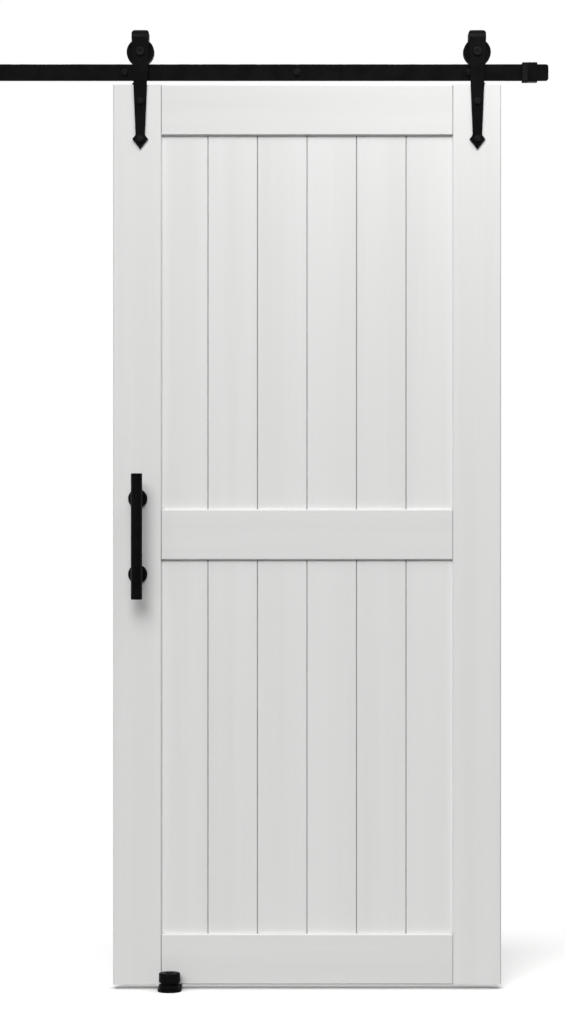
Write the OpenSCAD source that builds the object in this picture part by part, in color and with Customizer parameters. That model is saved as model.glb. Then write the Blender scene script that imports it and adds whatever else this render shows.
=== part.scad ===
// Sliding barn door: a framed plank leaf on two wheel hangers, with its track, handle and floor guide.
// Millimetres. +X runs along the track, +Y towards the wall and +Z up.
// The origin is the middle of the track, on the plane of the wall.

/* [Door leaf] */
// Width of the leaf
door_w = 914; // [760:1:1100]
// Height of the leaf
door_h = 2120; // [1900:1:2400]
// Thickness of the stiles and rails
door_t = 35; // [31:0.5:40]
// Width of each stile
stile_w = 114; // [100:1:135]
// Height of the top, middle and bottom rails
rail_h = 119; // [100:1:150]
// Bevel along the long edges of stiles and rails
edge_bevel = 2.4; // [0.5:0.1:3]
// Depth of the grooves that hold the planks
groove_d = 12; // [8:0.5:15]
// Open line where a rail meets a stile
joint_gap = 0.4; // [0.1:0.1:0.8]
// Diameter of the dowels in the frame joints
dowel_d = 10; // [6:0.5:12]
// Length of each dowel
dowel_len = 70; // [40:1:76]
// Distance between the two dowels of a joint
dowel_pitch = 60; // [40:1:70]

/* [Planks] */
// Planks in each panel
plank_count = 6; // [4:1:6]
// Distance from one plank line to the next
plank_pitch = 116.8; // [90:0.1:130]
// Thickness of a plank
plank_t = 19; // [16:0.5:24]
// Open line between two planks
plank_gap = 1.2; // [0.4:0.1:2]
// Bevel along the edges of a plank
plank_bevel = 1.5; // [0.5:0.1:3]
// Thickness of the tongue on a plank's edge
tongue_t = 6; // [4:0.5:8]
// Length of the tongue inside the next plank
tongue_len = 6; // [4:0.5:10]

/* [Track] */
// Length of the track rail
track_len = 2000; // [1800:1:2400]
// Height of the track rail
track_h = 39; // [36:1:44]
// Thickness of the track rail
track_t = 6; // [5:0.5:8]
// Radius of the track rail's corners
track_corner = 6; // [1:0.5:10]
// Length of the spacers between wall and track rail
spacer_len = 35; // [30:1:50]
// Diameter of the spacers
spacer_d = 20; // [16:1:24]
// Lag bolts along the track rail
lag_count = 5; // [3:2:5]
// Distance from each end of the track rail to the nearest lag bolt
lag_inset = 187.2; // [150:0.1:195]
// Depth of a lag bolt in the wall
lag_depth = 60; // [40:1:80]
// Diameter of a lag bolt's thread in the wall
lag_thread_d = 7.2; // [5:0.1:7.4]

/* [Stops] */
// Track rail left free past the right stop
right_stop_margin = 27; // [5:1:80]
// Track rail left free past the left stop
left_stop_margin = 218; // [205:1:260]
// Length of a stop block along the track rail
stop_len = 23; // [20:1:40]
// Height of a stop block
stop_h = 46; // [45:1:56]
// Depth of a stop block
stop_depth = 24; // [18:0.5:27]
// Edge radius of a stop block
stop_round = 2; // [0.5:0.5:4]
// Length of a rubber bumper along the track rail
bumper_len = 12; // [8:1:20]
// Height of a rubber bumper
bumper_h = 46; // [45:1:56]
// Depth of a rubber bumper
bumper_depth = 26; // [18:0.5:28]
// Edge radius of a rubber bumper
bumper_round = 3; // [0.5:0.5:5]
// Diameter of the set screws in a stop block
set_screw_d = 6; // [4:0.5:8]
// Distance between the two set screws of a stop block
set_screw_pitch = 11; // [10:0.5:14]
// Height that a set screw stands out of its block
set_screw_proud = 1.6; // [0.5:0.1:3]
// Distance that the leaf can still roll to the right when at rest
rest_roll = 85; // [20:1:150]

/* [Wheels] */
// Radius of the tread at the bottom of the wheel's groove
tread_r = 27.5; // [22:0.5:30]
// Height of the flanges beside the tread
flange_h = 5; // [4:0.5:9]
// Width of a wheel
wheel_w = 24; // [20:0.5:28]
// Side play of the track rail in the groove's root
root_play = 1; // [0.5:0.1:1.5]
// Width that the groove gains on each side towards the rim
groove_flare = 3; // [1:0.1:4]
// Radius of the rim's edges
rim_round = 2.5; // [0.5:0.1:3]
// Wall of the hub around the bearing
hub_wall = 4; // [2:0.5:6]
// Depth of the ring recess in each side of a wheel
web_step = 3; // [1:0.5:4]
// Running gap between the tread and the track rail
ride_gap = 0.2; // [0.1:0.05:0.4]
// Space between a wheel and each leg of its strap
wheel_side_gap = 3; // [2:0.5:5]
// Outer diameter of a bearing
bearing_d = 26; // [24:1:30]
// Width of a bearing
bearing_w = 8; // [7:0.5:10]
// Balls in a bearing
ball_count = 7; // [6:1:7]

/* [Hangers] */
// Thickness of a strap
strap_t = 5; // [4:0.5:6]
// Width of a strap where it bends over the wheel
strap_top_w = 41; // [36:0.5:46]
// Width of a strap just above its arrowhead
strap_neck_w = 22; // [18:0.5:28]
// Corner radius of a strap at the top of its bend
crown_round = 10; // [1:0.5:12]
// Space between the wheel's rim and the start of the bend
crown_gap = 0.8; // [0.5:0.1:6]
// Distance from the leaf's top edge down to the arrowhead
strap_drop = 119; // [100:1:150]
// Width of the arrowhead
arrow_w = 37; // [32:0.5:44]
// Length of the arrowhead
arrow_len = 33; // [28:0.5:44]
// Distance from the start of the arrowhead to its widest point
arrow_shoulder = 9.5; // [8:0.5:14]
// Distance from the leaf's left edge to the left hanger
left_hanger_inset = 64; // [50:1:68]
// Distance from the leaf's right edge to the right hanger
right_hanger_inset = 56; // [45:1:66]
// Space between the track rail and the leaf's top edge
door_drop = 11; // [10:0.5:20]
// Distance from the leaf's top edge down to the upper hanger bolt
upper_bolt_drop = 40; // [34:1:60]

/* [Fasteners] */
// Diameter of the axle bolts
axle_d = 10; // [8:0.5:11]
// Diameter of an axle bolt's head
axle_head_d = 20.6; // [17:0.1:24]
// Height of an axle bolt's head
axle_head_h = 5; // [4:0.5:7]
// Width across flats of an axle bolt's socket
axle_socket = 6; // [4:0.5:7]
// Width across flats of the axle nuts
axle_nut_af = 16; // [15:0.5:19]
// Height of the axle nuts
axle_nut_h = 8; // [6:0.5:9]
// Wall of the spacer tubes on the axle bolts
axle_spacer_wall = 1.9; // [1.2:0.1:2.2]
// Diameter of the hanger, handle and lag bolts
bolt_d = 8; // [6:0.5:8.5]
// Width across flats of the bolt heads and nuts
bolt_af = 13; // [12:0.5:15]
// Height of the bolt heads
bolt_head_h = 5.3; // [4:0.1:6]
// Height of the nuts on the hanger bolts
nut_h = 6.5; // [5:0.1:7.5]
// Thread left past a nut
nut_tail = 1.5; // [0.5:0.1:3]
// Outer diameter of the washers
washer_d = 16; // [14.5:0.5:18]
// Thickness of the washers
washer_t = 1.6; // [1:0.1:2]

/* [Anti-jump discs] */
// Diameter of a disc
disc_d = 32; // [26:0.5:34]
// Height of a disc
disc_h = 6.5; // [6:0.5:8]
// Shift of the left disc from its hanger towards the leaf's left edge
left_disc_shift = 4; // [0:1:20]
// Shift of the right disc from its hanger towards the leaf's right edge
right_disc_shift = 4; // [0:1:20]
// Diameter of a disc's screw
disc_screw_d = 4.5; // [3.5:0.1:5]
// Diameter of a disc screw's head
disc_screw_head_d = 9; // [7:0.5:10]
// Height of a disc screw's head
disc_screw_head_h = 3; // [2:0.1:3.5]
// Depth of a disc's screw in the leaf
disc_screw_depth = 24; // [15:1:26]

/* [Handle] */
// Diameter of the bar
handle_d = 26.5; // [20:0.5:30]
// Length of the bar
handle_len = 295; // [250:1:400]
// Edge radius of the bar's ends
handle_round = 2; // [0.5:0.5:5]
// Distance between the two posts
handle_pitch = 178; // [150:1:210]
// Distance from the leaf's face to the bar's axis
handle_reach = 55; // [45:1:70]
// Distance from the leaf's left edge to the handle
handle_inset = 58; // [50:1:66]
// Distance from the leaf's middle down to the handle's middle
handle_drop = 4; // [0:1:40]
// Diameter of a post
post_d = 22; // [18:0.5:24]
// Depth of a post's spigot in the bar
spigot_len = 9; // [6:0.5:10]
// Diameter of a post's spigot
spigot_d = 10; // [8:0.5:12]
// Diameter of a rosette
rosette_d = 45; // [38:0.5:52]
// Thickness of a rosette
rosette_t = 7; // [4:0.5:9]
// Edge radius of a rosette
rosette_round = 2.5; // [0.5:0.5:3.5]
// Depth of a handle bolt in its post
handle_bolt_grip = 20; // [14:1:24]

/* [Floor guide] */
// Space between the leaf and the floor
floor_gap = 11; // [10:0.5:16]
// Distance from the leaf's left edge at rest to the guide
guide_inset = 134; // [60:1:200]
// Diameter of the roller
roller_d = 50; // [40:1:56]
// Height of the roller's running face
roller_h = 23; // [18:0.5:30]
// Edge radius of the roller
roller_round = 3; // [1:0.5:5]
// Diameter of the roller's neck
neck_d = 40; // [30:1:46]
// Height of the roller's neck
neck_h = 4; // [2:0.5:6]
// Diameter of the boss under the roller
boss_d = 50; // [44:1:51]
// Height of the boss under the roller
boss_h = 12; // [8:0.5:14]
// Width of the guide's base
guide_w = 56; // [54:1:80]
// Thickness of the guide's base
guide_t = 4; // [3:0.5:5]
// Inner radius of the fold in the guide's base
fold_r = 3; // [1:0.5:5]
// Height of the folded tab above the floor
tab_h = 42; // [34:1:60]
// Corner radius of the folded tab
tab_round = 8; // [2:0.5:12]
// Running gap between the leaf and the roller
roller_gap = 0.8; // [0.5:0.1:1]
// Running gap between the leaf and the wear pad
pad_gap = 0.5; // [0.4:0.1:0.9]
// Thickness of the wear pad
pad_t = 2; // [1.5:0.1:3]
// Width of the wear pad
pad_w = 40; // [30:1:46]
// Distance from the leaf's bottom edge up to the wear pad
pad_rise = 1; // [0.5:0.5:4]
// Diameter of the roller's bolt
roller_bolt_d = 10; // [8:0.5:12]
// Diameter of the roller bolt's head
roller_head_d = 18; // [15:0.5:22]
// Height of the roller bolt's head
roller_head_h = 2.4; // [1.5:0.1:4]
// Distance between the two floor screws
floor_screw_pitch = 28; // [24:1:34]
// Diameter of the floor screws
floor_screw_d = 5; // [4.6:0.1:6]
// Diameter of the floor screws' thread in the floor
floor_thread_d = 4.4; // [3.5:0.1:4.8]
// Diameter of the floor screws' countersunk heads
floor_screw_head_d = 10; // [9:0.1:11]
// Depth of the floor screws in the floor
floor_screw_depth = 30; // [20:1:40]

/* [Clearances] */
// Gap of wood joints, on each side
wood_fit = 0.25; // [0.1:0.05:0.4]
// Gap of pressed or screwed pieces, on the radius
press_fit = 0.05; // [0.02:0.01:0.1]
// Gap of a turning fit, on the radius
turn_fit = 0.08; // [0.03:0.01:0.1]
// Gap of a bolt in its hole, on the radius
bolt_fit = 0.3; // [0.2:0.05:0.5]
// Gap between a bearing's balls and its races
ball_fit = 0.3; // [0.2:0.05:0.35]
// Gap of a stop or bumper around the track rail
slot_fit = 0.2; // [0.1:0.05:0.4]
// Gap between the roller and the pieces above and below it
roller_end_gap = 0.4; // [0.2:0.05:0.8]

/* [Hidden] */
$fn = 64;
paint_white = [0.93, 0.93, 0.92];
bare_wood = [0.80, 0.66, 0.46];
black_coat = [0.07, 0.07, 0.075];
black_rubber = [0.10, 0.10, 0.10];
black_plastic = [0.13, 0.13, 0.13];
white_plastic = [0.88, 0.88, 0.86];
bare_steel = [0.66, 0.67, 0.69];

// Depths, from the wall to the front
wheel_mid_y = -spacer_len - track_t / 2;
strap_gap = wheel_w / 2 + wheel_side_gap;
door_front_y = wheel_mid_y - strap_gap;
door_back_y = door_front_y + door_t;
door_mid_y = door_front_y + door_t / 2;
strap_front_y = door_front_y - strap_t;
back_leg_y = wheel_mid_y + strap_gap;
track_front_y = -spacer_len - track_t;
bar_y = door_front_y - handle_reach;
roller_y = door_front_y - roller_gap - roller_d / 2;
tab_y = door_back_y + pad_gap + pad_t;

// Heights, from the track down to the floor
wheel_r = tread_r + flange_h;
axle_z = track_h / 2 + ride_gap + tread_r;
bend_z = axle_z + wheel_r + crown_gap;
door_top_z = -track_h / 2 - door_drop;
door_bottom_z = door_top_z - door_h;
door_mid_z = door_top_z - door_h / 2;
neck_z = door_top_z - strap_drop;
shoulder_z = neck_z - arrow_shoulder;
hanger_bolt_heights = [door_top_z - upper_bolt_drop, shoulder_z];
floor_z = door_bottom_z - floor_gap;
boss_top_z = floor_z + guide_t + boss_h;
roller_top_z = boss_top_z + roller_end_gap + neck_h + roller_h;
handle_mid_z = door_mid_z - handle_drop;
handle_heights = [handle_mid_z + handle_pitch / 2, handle_mid_z - handle_pitch / 2];

// Places along the track
left_stop_x = -track_len / 2 + left_stop_margin;
right_stop_x = track_len / 2 - right_stop_margin - stop_len;
bumper_drop = max(0, axle_z - bumper_h / 2);
bumper_reach = sqrt(max(0, wheel_r * wheel_r - bumper_drop * bumper_drop));
right_axle_x = right_stop_x - bumper_len - bumper_reach - rest_roll;
door_right_x = right_axle_x + right_hanger_inset;
door_left_x = door_right_x - door_w;
door_mid_x = door_right_x - door_w / 2;
left_axle_x = door_left_x + left_hanger_inset;
axle_xs = [left_axle_x, right_axle_x];
disc_xs = [left_axle_x - left_disc_shift, right_axle_x + right_disc_shift];
lag_pitch = (track_len - 2 * lag_inset) / (lag_count - 1);
lag_xs = [for (i = [0 : lag_count - 1]) (i - (lag_count - 1) / 2) * lag_pitch];
handle_x = door_left_x + handle_inset;
guide_x = door_left_x + guide_inset;
floor_screw_xs = [guide_x - floor_screw_pitch / 2, guide_x + floor_screw_pitch / 2];

// The leaf's frame: where the panels are open, and how far a plank or tenon enters a groove
panel_left_x = door_left_x + stile_w;
panel_right_x = door_right_x - stile_w;
housed = groove_d - wood_fit;
groove_w = plank_t + 2 * wood_fit;
top_rail_z = door_top_z - rail_h;
middle_rail_z = door_mid_z - rail_h / 2;
bottom_rail_z = door_bottom_z;
rail_heights = [top_rail_z, middle_rail_z, bottom_rail_z];
upper_panel = [middle_rail_z + rail_h, top_rail_z];
lower_panel = [bottom_rail_z + rail_h, middle_rail_z];

// The wheel and its bearing
root_w = track_t + 2 * root_play;
mouth_w = root_w + 2 * groove_flare;
bearing_seat_r = bearing_d / 2 + press_fit;
bearing_lip = 2;
bearing_lip_r = bearing_d / 2 - bearing_lip;
hub_r = bearing_d / 2 + hub_wall;
rim_wall = 1;
web_r = max(hub_r + rim_wall, tread_r - rim_wall);
ball_pitch_r = (axle_d + bearing_d) / 4;
ball_share = 0.6;
ball_r = ball_share * (bearing_d - axle_d) / 4;
race_open = ball_r * ball_share;
arc_steps = 5;

// The bolts
axle_bolt_len = 2 * strap_gap + 2 * strap_t + axle_nut_h + nut_tail;
axle_head_round = 1.2;
socket_depth = 3;
hanger_bolt_len = washer_t + strap_t + door_t + washer_t + nut_h + nut_tail;
handle_bolt_len = washer_t + door_t + handle_bolt_grip;
lag_shank_len = washer_t + track_t + spacer_len;
lag_bolt_len = lag_shank_len + lag_depth;
lag_tip_len = 12;
floor_sink_h = (floor_screw_head_d - floor_screw_d) / 2;
head_face_share = 0.95;
head_slope = 30;
end_play = 0.3;
overcut = 1;

// Small edge radii and bevels
dowel_edge = 1;
disc_edge = 1.5;
boss_edge = 1.5;
roller_head_edge = 0.8;
pad_edge = 0.5;

// Points along an arc, from one angle to another
function arc(cx, cy, r, from, to) =
    [for (i = [0 : arc_steps])
        let (a = from + (to - from) * i / arc_steps) [cx + r * cos(a), cy + r * sin(a)]];

// X of the open line after plank i
function plank_line(i) = door_mid_x + (i - plank_count / 2) * plank_pitch;

// Runs a section drawn in (Y, Z) along +X
module along_x(x0, len) {
    translate([x0, 0, 0]) rotate([90, 0, 90]) linear_extrude(len) children();
}

// Gives an outline drawn in (X, Z) a depth along +Y
module along_y(y0, depth) {
    translate([0, y0 + depth, 0]) rotate([90, 0, 0]) linear_extrude(depth) children();
}

// Turns a piece built along +Z to point at the wall
module to_wall(x, y, z) {
    translate([x, y, z]) rotate([-90, 0, 0]) children();
}

// Turns a piece built along +Z to point at the front
module to_front(x, y, z) {
    translate([x, y, z]) rotate([90, 0, 0]) children();
}

// A rectangle with bevelled corners, from a lower corner
module bevelled_rect(x0, y0, w, h, b) {
    polygon([
        [x0 + b, y0], [x0 + w - b, y0], [x0 + w, y0 + b], [x0 + w, y0 + h - b],
        [x0 + w - b, y0 + h], [x0 + b, y0 + h], [x0, y0 + h - b], [x0, y0 + b]
    ]);
}

// A rectangle with round corners, about its middle
module round_rect(w, h, r) {
    square([w - 2 * r, h], center = true);
    square([w, h - 2 * r], center = true);
    for (x = [-1, 1], y = [-1, 1]) translate([x * (w / 2 - r), y * (h / 2 - r)]) circle(r);
}

// A ring along +Z
module tube(outer_r, inner_r, len) {
    difference() {
        cylinder(r = outer_r, h = len);
        translate([0, 0, -overcut]) cylinder(r = inner_r, h = len + 2 * overcut);
    }
}

// A round bar along +Z with rounded ends
module round_bar(r, len, edge) {
    rotate_extrude() polygon(concat(
        [[0, 0]],
        arc(r - edge, edge, edge, -90, 0),
        arc(r - edge, len - edge, edge, 0, 90),
        [[0, len]]
    ));
}

// A hexagon head or nut along +Z, with its outer corners turned off
module hex_block(af, h) {
    corner_r = af / 2 / cos(30);
    face_r = head_face_share * af / 2;
    rim_r = corner_r + overcut;
    fall = (rim_r - face_r) * tan(head_slope);
    intersection() {
        cylinder(r = corner_r, h = h, $fn = 6);
        rotate_extrude() polygon([[0, 0], [rim_r, 0], [rim_r, h - fall], [face_r, h], [0, h]]);
    }
}

// A hexagon bolt whose shank runs along -Z from under its head
module hex_bolt(d, af, head_h, len) {
    hex_block(af, head_h);
    translate([0, 0, -len]) cylinder(d = d, h = len + overcut);
}

module hex_nut(af, h, bore_r) {
    difference() {
        hex_block(af, h);
        translate([0, 0, -overcut]) cylinder(r = bore_r, h = h + 2 * overcut);
    }
}

module washer() {
    tube(washer_d / 2, bolt_d / 2 + bolt_fit, washer_t);
}

// Door leaf

// Holes for the two dowels of a joint, which run along X about the groove's bottom at x
module dowel_holes(x, rail_z) {
    len = dowel_len + 2 * end_play;
    for (s = [-1, 1]) translate([x - len / 2, door_mid_y, rail_z + rail_h / 2 + s * dowel_pitch / 2])
        rotate([0, 90, 0]) cylinder(d = dowel_d + 2 * wood_fit, h = len);
}

module bolt_holes(x, heights) {
    for (z = heights) to_wall(x, door_front_y - overcut, z)
        cylinder(r = bolt_d / 2 + bolt_fit, h = door_t + 2 * overcut);
}

module disc_screw_hole(x) {
    depth = disc_screw_depth + end_play;
    translate([x, door_mid_y, door_top_z - depth])
        cylinder(r = disc_screw_d / 2 + press_fit, h = depth + overcut);
}

// An upright of the frame; its groove opens towards the panels
module stile(x0, groove_x, joint_x) {
    difference() {
        translate([0, 0, door_bottom_z]) linear_extrude(door_h) difference() {
            bevelled_rect(x0, door_front_y, stile_w, door_t, edge_bevel);
            translate([groove_x, door_mid_y - groove_w / 2]) square([groove_d + overcut, groove_w]);
        }
        for (z = rail_heights) dowel_holes(joint_x, z);
    }
}

module left_stile() color(paint_white) difference() {
    stile(door_left_x, panel_left_x - groove_d, panel_left_x - groove_d);
    bolt_holes(left_axle_x, hanger_bolt_heights);
    bolt_holes(handle_x, handle_heights);
    disc_screw_hole(disc_xs[0]);
}

module right_stile() color(paint_white) difference() {
    stile(panel_right_x, panel_right_x - overcut, panel_right_x + groove_d);
    bolt_holes(right_axle_x, hanger_bolt_heights);
    disc_screw_hole(disc_xs[1]);
}

// A crosspiece with a stub tenon at each end, grooved below and above as asked
module frame_rail(z, groove_below, groove_above) {
    body_x = panel_left_x + joint_gap;
    tenon_x = panel_left_x - housed;
    full_len = panel_right_x - panel_left_x + 2 * housed;
    color(paint_white) difference() {
        union() {
            along_x(body_x, panel_right_x - panel_left_x - 2 * joint_gap)
                bevelled_rect(door_front_y, z, door_t, rail_h, edge_bevel);
            along_x(tenon_x, full_len) translate([door_mid_y - plank_t / 2, z]) square([plank_t, rail_h]);
        }
        along_x(tenon_x - overcut, full_len + 2 * overcut) translate([door_mid_y - groove_w / 2, 0]) {
            if (groove_below) translate([0, z - overcut]) square([groove_w, groove_d + overcut]);
            if (groove_above) translate([0, z + rail_h - groove_d]) square([groove_w, groove_d + overcut]);
        }
        dowel_holes(panel_left_x - groove_d, z);
        dowel_holes(panel_right_x + groove_d, z);
    }
}

// Plank i of a panel, with a groove on its left edge and a tongue on its right
module plank(i, panel) {
    first = i == 1;
    last = i == plank_count;
    left = first ? panel_left_x - housed : plank_line(i - 1) + plank_gap / 2;
    right = last ? panel_right_x + housed : plank_line(i) - plank_gap / 2;
    slot_t = tongue_t + 2 * wood_fit;
    color(paint_white) translate([0, 0, panel[0] - housed]) linear_extrude(panel[1] - panel[0] + 2 * housed)
        difference() {
            union() {
                bevelled_rect(left, door_mid_y - plank_t / 2, right - left, plank_t, plank_bevel);
                if (!last) translate([right - overcut, door_mid_y - tongue_t / 2])
                    square([overcut + plank_gap + tongue_len, tongue_t]);
            }
            if (!first) translate([left - overcut, door_mid_y - slot_t / 2])
                square([overcut + tongue_len + wood_fit, slot_t]);
        }
}

module frame_dowels() color(bare_wood) {
    for (x = [panel_left_x - groove_d, panel_right_x + groove_d], z = rail_heights, s = [-1, 1])
        translate([x - dowel_len / 2, door_mid_y, z + rail_h / 2 + s * dowel_pitch / 2])
            rotate([0, 90, 0]) round_bar(dowel_d / 2, dowel_len, dowel_edge);
}

// Hangers

// Flat bar bent over the wheel: tapered front leg with an arrowhead, round bend, short back leg
module hanger_strap(x) {
    outer_r = strap_gap + strap_t;
    half_top = strap_top_w / 2;
    tip_z = neck_z - arrow_len;
    hole_r = axle_d / 2 + bolt_fit;
    color(black_coat) translate([x, 0, 0]) difference() {
        union() {
            along_y(strap_front_y, strap_t) polygon([
                [-half_top, bend_z], [-strap_neck_w / 2, neck_z], [-arrow_w / 2, shoulder_z], [0, tip_z],
                [arrow_w / 2, shoulder_z], [strap_neck_w / 2, neck_z], [half_top, bend_z]
            ]);
            intersection() {
                along_x(-half_top, strap_top_w) translate([wheel_mid_y, bend_z]) difference() {
                    circle(outer_r);
                    circle(strap_gap);
                    translate([-2 * outer_r, -2 * outer_r]) square([4 * outer_r, 2 * outer_r]);
                }
                along_y(wheel_mid_y - outer_r - overcut, 2 * outer_r + 2 * overcut) polygon(concat(
                    [[half_top, bend_z - overcut]],
                    arc(half_top - crown_round, bend_z + outer_r - crown_round, crown_round, 0, 90),
                    arc(crown_round - half_top, bend_z + outer_r - crown_round, crown_round, 90, 180),
                    [[-half_top, bend_z - overcut]]
                ));
            }
            along_y(back_leg_y, strap_t) {
                translate([-half_top, axle_z]) square([strap_top_w, bend_z - axle_z]);
                translate([0, axle_z]) circle(half_top);
            }
        }
        to_wall(0, strap_front_y - overcut, axle_z) cylinder(r = hole_r, h = 2 * outer_r + 2 * overcut);
        for (z = hanger_bolt_heights) to_wall(0, strap_front_y - overcut, z)
            cylinder(r = bolt_d / 2 + bolt_fit, h = strap_t + 2 * overcut);
    }
}

// Grooved wheel with a stepped bore for its bearing
module wheel(x) {
    half = wheel_w / 2;
    rim_r = wheel_r - rim_round;
    color(black_coat) to_wall(x, wheel_mid_y, axle_z) rotate_extrude() polygon(concat(
        [[bearing_lip_r, -half], [hub_r, -half], [hub_r, -half + web_step]],
        [[web_r, -half + web_step], [web_r, -half]],
        arc(rim_r, -half + rim_round, rim_round, -90, 0),
        [[wheel_r, -mouth_w / 2], [tread_r, -root_w / 2], [tread_r, root_w / 2], [wheel_r, mouth_w / 2]],
        arc(rim_r, half - rim_round, rim_round, 0, 90),
        [[web_r, half], [web_r, half - web_step], [hub_r, half - web_step], [hub_r, half]],
        [[bearing_seat_r, half], [bearing_seat_r, -bearing_w / 2], [bearing_lip_r, -bearing_w / 2]]
    ));
}

// One race of a bearing, from its inner to its outer radius, with the balls' track cut in
module race(x, inner_r, outer_r) {
    color(bare_steel) to_wall(x, wheel_mid_y, axle_z) rotate_extrude() difference() {
        translate([inner_r, -bearing_w / 2]) square([outer_r - inner_r, bearing_w]);
        translate([ball_pitch_r, 0]) circle(ball_r + ball_fit);
    }
}

module bearing_outer_race(x) race(x, ball_pitch_r + race_open, bearing_d / 2);

module bearing_inner_races() {
    for (x = axle_xs) race(x, axle_d / 2 + press_fit, ball_pitch_r - race_open);
}

module bearing_balls(x) {
    color(bare_steel) to_wall(x, wheel_mid_y, axle_z) for (i = [0 : ball_count - 1])
        rotate(i * 360 / ball_count) translate([ball_pitch_r, 0, 0]) sphere(ball_r);
}

// Low round head with a hexagon socket, on a plain shank
module axle_bolts() color(black_coat) {
    for (x = axle_xs) to_front(x, strap_front_y, axle_z) difference() {
        union() {
            rotate_extrude() polygon(concat(
                [[0, 0], [axle_head_d / 2, 0]],
                arc(axle_head_d / 2 - axle_head_round, axle_head_h - axle_head_round, axle_head_round, 0, 90),
                [[0, axle_head_h]]
            ));
            translate([0, 0, -axle_bolt_len]) cylinder(d = axle_d, h = axle_bolt_len + overcut);
        }
        translate([0, 0, axle_head_h - socket_depth])
            cylinder(r = axle_socket / 2 / cos(30), h = socket_depth + overcut, $fn = 6);
    }
}

module axle_nuts() color(black_coat) {
    for (x = axle_xs) to_wall(x, back_leg_y + strap_t, axle_z)
        hex_nut(axle_nut_af, axle_nut_h, axle_d / 2 + press_fit);
}

// Tubes that keep the bearing in the middle of the strap
module axle_spacers() color(bare_steel) {
    len = strap_gap - bearing_w / 2;
    bore_r = axle_d / 2 + press_fit;
    for (x = axle_xs, y = [wheel_mid_y - strap_gap, wheel_mid_y + bearing_w / 2])
        to_wall(x, y, axle_z) tube(bore_r + axle_spacer_wall, bore_r, len);
}

module hanger_bolts() color(black_coat) {
    for (x = axle_xs, z = hanger_bolt_heights) to_front(x, strap_front_y - washer_t, z)
        hex_bolt(bolt_d, bolt_af, bolt_head_h, hanger_bolt_len);
}

module hanger_washers() color(black_coat) {
    for (x = axle_xs, z = hanger_bolt_heights, y = [strap_front_y - washer_t, door_back_y])
        to_wall(x, y, z) washer();
}

module hanger_nuts() color(black_coat) {
    for (x = axle_xs, z = hanger_bolt_heights) to_wall(x, door_back_y + washer_t, z)
        hex_nut(bolt_af, nut_h, bolt_d / 2 + press_fit);
}

// Disc on the leaf's top edge that keeps the wheels on the track
module anti_jump_disc(x) {
    seat_r = disc_screw_head_d / 2 + bolt_fit;
    color(black_plastic) translate([x, door_mid_y, door_top_z]) difference() {
        round_bar(disc_d / 2, disc_h, disc_edge);
        translate([0, 0, disc_h - disc_screw_head_h - end_play]) cylinder(r = seat_r, h = disc_h);
        translate([0, 0, -overcut]) cylinder(r = disc_screw_d / 2 + bolt_fit, h = disc_h);
    }
}

module anti_jump_screws() color(black_coat) {
    head_z = disc_h - disc_screw_head_h - end_play;
    for (x = disc_xs) translate([x, door_mid_y, door_top_z]) {
        translate([0, 0, head_z]) cylinder(d = disc_screw_head_d, h = disc_screw_head_h);
        translate([0, 0, -disc_screw_depth])
            cylinder(d = disc_screw_d, h = disc_screw_depth + head_z + overcut);
    }
}

// Handle

module handle_bar() color(black_coat) difference() {
    translate([handle_x, bar_y, handle_mid_z - handle_len / 2])
        round_bar(handle_d / 2, handle_len, handle_round);
    for (z = handle_heights) to_wall(handle_x, bar_y + handle_d / 2 - spigot_len - end_play, z)
        cylinder(r = spigot_d / 2 + press_fit, h = handle_d);
}

// Post from the leaf to the bar: coped to the bar, with a spigot in it and a bore for the bolt
module handle_post(z) {
    spigot_y = bar_y + handle_d / 2 - spigot_len;
    color(black_coat) difference() {
        union() {
            difference() {
                to_wall(handle_x, bar_y, z) cylinder(d = post_d, h = handle_reach);
                translate([handle_x, bar_y, z - handle_d])
                    cylinder(r = handle_d / 2 + press_fit, h = 2 * handle_d);
            }
            to_wall(handle_x, spigot_y, z) cylinder(d = spigot_d, h = spigot_len + overcut);
        }
        to_front(handle_x, door_front_y + overcut, z)
            cylinder(r = bolt_d / 2 + press_fit, h = handle_bolt_grip + end_play + overcut);
    }
}

// Ring around the foot of a post
module handle_rosette(z) {
    color(black_coat) to_front(handle_x, door_front_y, z) rotate_extrude() polygon(concat(
        [[post_d / 2 + bolt_fit, 0], [rosette_d / 2, 0]],
        arc(rosette_d / 2 - rosette_round, rosette_t - rosette_round, rosette_round, 0, 90),
        [[post_d / 2 + bolt_fit, rosette_t]]
    ));
}

module handle_bolts() color(black_coat) {
    for (z = handle_heights) to_wall(handle_x, door_back_y + washer_t, z)
        hex_bolt(bolt_d, bolt_af, bolt_head_h, handle_bolt_len);
}

module handle_washers() color(black_coat) {
    for (z = handle_heights) to_wall(handle_x, door_back_y, z) washer();
}

// Track

module track_rail() color(black_coat) difference() {
    along_y(track_front_y, track_t) round_rect(track_len, track_h, track_corner);
    for (x = lag_xs) to_wall(x, track_front_y - overcut, 0)
        cylinder(r = bolt_d / 2 + bolt_fit, h = track_t + 2 * overcut);
}

module rail_spacers() color(black_coat) {
    for (x = lag_xs) to_wall(x, -spacer_len, 0) tube(spacer_d / 2, bolt_d / 2 + bolt_fit, spacer_len);
}

// Hexagon bolts with a plain shank, and a thinner threaded end with a point
module lag_bolts() color(black_coat) {
    for (x = lag_xs) to_front(x, track_front_y - washer_t, 0) {
        hex_bolt(bolt_d, bolt_af, bolt_head_h, lag_shank_len);
        translate([0, 0, lag_tip_len - lag_bolt_len])
            cylinder(d = lag_thread_d, h = lag_depth - lag_tip_len + overcut);
        translate([0, 0, -lag_bolt_len]) cylinder(d1 = lag_thread_d / 4, d2 = lag_thread_d, h = lag_tip_len);
    }
}

module lag_washers() color(black_coat) {
    for (x = lag_xs) to_wall(x, track_front_y - washer_t, 0) washer();
}

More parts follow.
